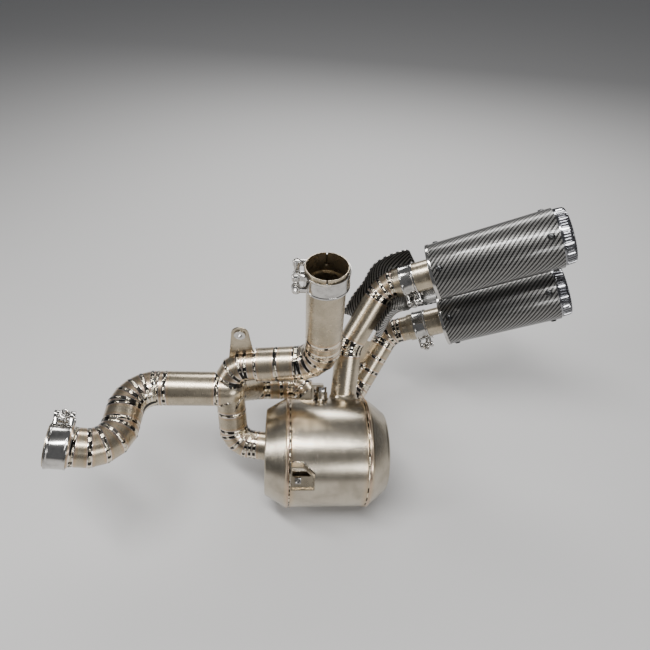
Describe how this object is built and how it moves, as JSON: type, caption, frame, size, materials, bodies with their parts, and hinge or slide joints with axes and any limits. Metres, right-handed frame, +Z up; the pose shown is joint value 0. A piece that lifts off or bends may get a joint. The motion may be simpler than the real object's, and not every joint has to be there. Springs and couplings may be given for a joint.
{
  "type": "motorcycle racing exhaust system",
  "caption": "Titanium racing exhaust: two clamped headers join and feed a round chamber, whose two link pipes carry carbon-sleeved silencers on slip joints.",
  "frame": {"origin": "far face of the hanger plate, 25 mm below its bolt hole", "axes": "+X to the rear of the machine, where the silencers point; +Y away from the side that the clamps face; +Z up"},
  "size_m": [0.8413, 0.3594, 0.4741],
  "materials": {
    "tube_titanium": "satin champagne titanium with a fine grain",
    "chamber_titanium": "titanium sheet brushed round the barrel",
    "polished_steel": "polished stainless clamp bands",
    "fastener_steel": "bright stainless fasteners",
    "dark_chrome": "dark chromed castings",
    "carbon_fibre": "twill carbon fibre under clear lacquer",
    "packing_wool": "glass wool"
  },
  "bodies": {
    "root": {"front_socket": "tube_titanium", "front_bend_lower": "tube_titanium", "front_bend_upper": "tube_titanium", "front_straight": "tube_titanium", "rear_socket": "tube_titanium", "rear_down_tube": "tube_titanium", "rear_elbow": "tube_titanium", "rear_cross_tube": "tube_titanium", "collector": "tube_titanium", "merge_elbow": "tube_titanium", "feed_pipe": "tube_titanium", "back_feed_pipe": "tube_titanium", "upper_link": "tube_titanium", "lower_link": "tube_titanium", "link_web": "tube_titanium", "chamber_barrel": "chamber_titanium", "chamber_front_cap": "chamber_titanium", "chamber_rear_cap": "chamber_titanium", "chamber_baffle": "chamber_titanium", "chamber_inner_tube": "chamber_titanium", "pocket_bracket": "tube_titanium", "captive_nut": "fastener_steel", "pocket_stud": "fastener_steel", "mount_bracket": "tube_titanium", "sensor_boss": "tube_titanium", "sensor_plug": "fastener_steel", "hanger_plate": "tube_titanium", "hanger_bush": "fastener_steel", "heat_shield": "carbon_fibre"},
    "front_clamp": {"front_band": "polished_steel", "front_t_bolt": "fastener_steel", "front_trunnion": "fastener_steel"},
    "front_clamp_nut": {"front_nut": "fastener_steel"},
    "rear_clamp": {"rear_band": "polished_steel", "rear_t_bolt": "fastener_steel", "rear_trunnion": "fastener_steel"},
    "rear_clamp_nut": {"rear_nut": "fastener_steel"},
    "upper_clamp": {"upper_band": "polished_steel", "upper_t_bolt": "fastener_steel", "upper_trunnion": "fastener_steel"},
    "upper_clamp_nut": {"upper_nut": "fastener_steel"},
    "lower_clamp": {"lower_band": "polished_steel", "lower_t_bolt": "fastener_steel", "lower_trunnion": "fastener_steel"},
    "lower_clamp_nut": {"lower_nut": "fastener_steel"},
    "upper_silencer": {"upper_socket": "tube_titanium", "upper_inlet_cap": "polished_steel", "upper_sleeve": "carbon_fibre", "upper_core": "chamber_titanium", "upper_packing": "packing_wool", "upper_outlet_cap": "dark_chrome"},
    "lower_silencer": {"lower_socket": "tube_titanium", "lower_inlet_cap": "polished_steel", "lower_sleeve": "carbon_fibre", "lower_core": "chamber_titanium", "lower_packing": "packing_wool", "lower_outlet_cap": "dark_chrome"}
  },
  "joints": [
    {"name": "front_clamp_turn", "type": "hinge", "parent": "root", "child": "front_clamp", "pos_m": [-0.25029, -0.16085, -0.04292], "axis": [0.9193, 0.1345, -0.3699], "continuous": true},
    {"name": "rear_clamp_turn", "type": "hinge", "parent": "root", "child": "rear_clamp", "pos_m": [0.13635, -0.01544, 0.15202], "axis": [0.0343, -0.0294, 0.999], "continuous": true},
    {"name": "upper_slip", "type": "slide", "parent": "root", "child": "upper_clamp", "axis": [0.9095, -0.07, 0.4098], "range_m": [0, 0.045]},
    {"name": "upper_swivel", "type": "hinge", "parent": "upper_clamp", "child": "upper_silencer", "pos_m": [0.314, 0.103, 0.063], "axis": [0.9095, -0.07, 0.4098], "continuous": true},
    {"name": "lower_slip", "type": "slide", "parent": "root", "child": "lower_clamp", "axis": [0.9095, -0.07, 0.4098], "range_m": [0, 0.045]},
    {"name": "lower_swivel", "type": "hinge", "parent": "lower_clamp", "child": "lower_silencer", "pos_m": [0.354, 0.116, -0.058], "axis": [0.9095, -0.07, 0.4098], "continuous": true},
    {"name": "front_nut_spin", "type": "hinge", "parent": "front_clamp", "child": "front_clamp_nut", "pos_m": [-0.24343, -0.12598, -0.01319], "axis": [0.3924, -0.2381, 0.8885], "continuous": true},
    {"name": "rear_nut_spin", "type": "hinge", "parent": "rear_clamp", "child": "rear_clamp_nut", "pos_m": [0.09497, -0.03627, 0.15283], "axis": [0, -0.9996, -0.0294], "continuous": true},
    {"name": "upper_nut_spin", "type": "hinge", "parent": "upper_clamp", "child": "upper_clamp_nut", "pos_m": [0.2862, 0.07501, 0.01986], "axis": [-0.1875, -0.9488, 0.2542], "continuous": true},
    {"name": "lower_nut_spin", "type": "hinge", "parent": "lower_clamp", "child": "lower_clamp_nut", "pos_m": [0.3262, 0.08801, -0.10114], "axis": [-0.1875, -0.9488, 0.2542], "continuous": true}
  ]
}
